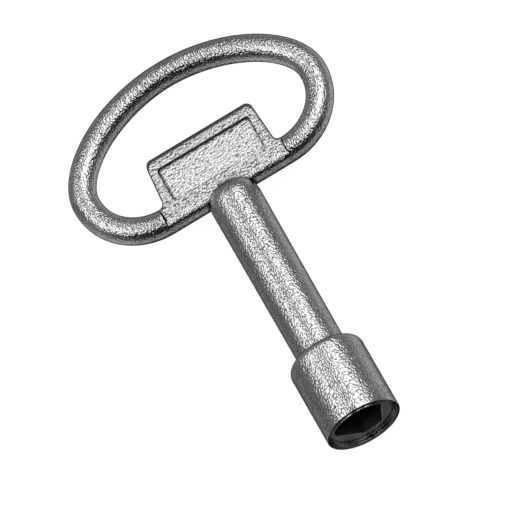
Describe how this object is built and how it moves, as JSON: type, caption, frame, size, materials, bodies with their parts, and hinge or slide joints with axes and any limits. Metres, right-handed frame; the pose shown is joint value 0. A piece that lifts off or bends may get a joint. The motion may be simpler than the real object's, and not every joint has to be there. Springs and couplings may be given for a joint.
{
  "type": "radiator bleed key",
  "caption": "One-hand key with an oval bow, a flat name tab, a round stem and a barrel with a recessed triangular socket, in blasted cast zinc.",
  "frame": {"origin": "the point under the middle of the key at the barrel's lowest line, with the key lying on its back", "axes": "+Y along the stem from the socket's mouth to the bow, +Z out of the front face, +X across the bow"},
  "size_m": [0.0544, 0.086, 0.015],
  "materials": {
    "bow_zinc": "shot-blasted zinc alloy, satin, fine grain",
    "tab_zinc": "shot-blasted zinc alloy, paler and more matt on the flats",
    "stem_zinc": "shot-blasted zinc alloy, satin, fine grain",
    "barrel_zinc": "shot-blasted zinc alloy, satin, fine grain",
    "drive_steel": "dark as-cast or broached metal, dull"
  },
  "bodies": {
    "root": {"bow": "bow_zinc", "tab_plate": "tab_zinc", "stem": "stem_zinc", "socket_barrel": "barrel_zinc", "drive_insert": "drive_steel"}
  },
  "joints": []
}
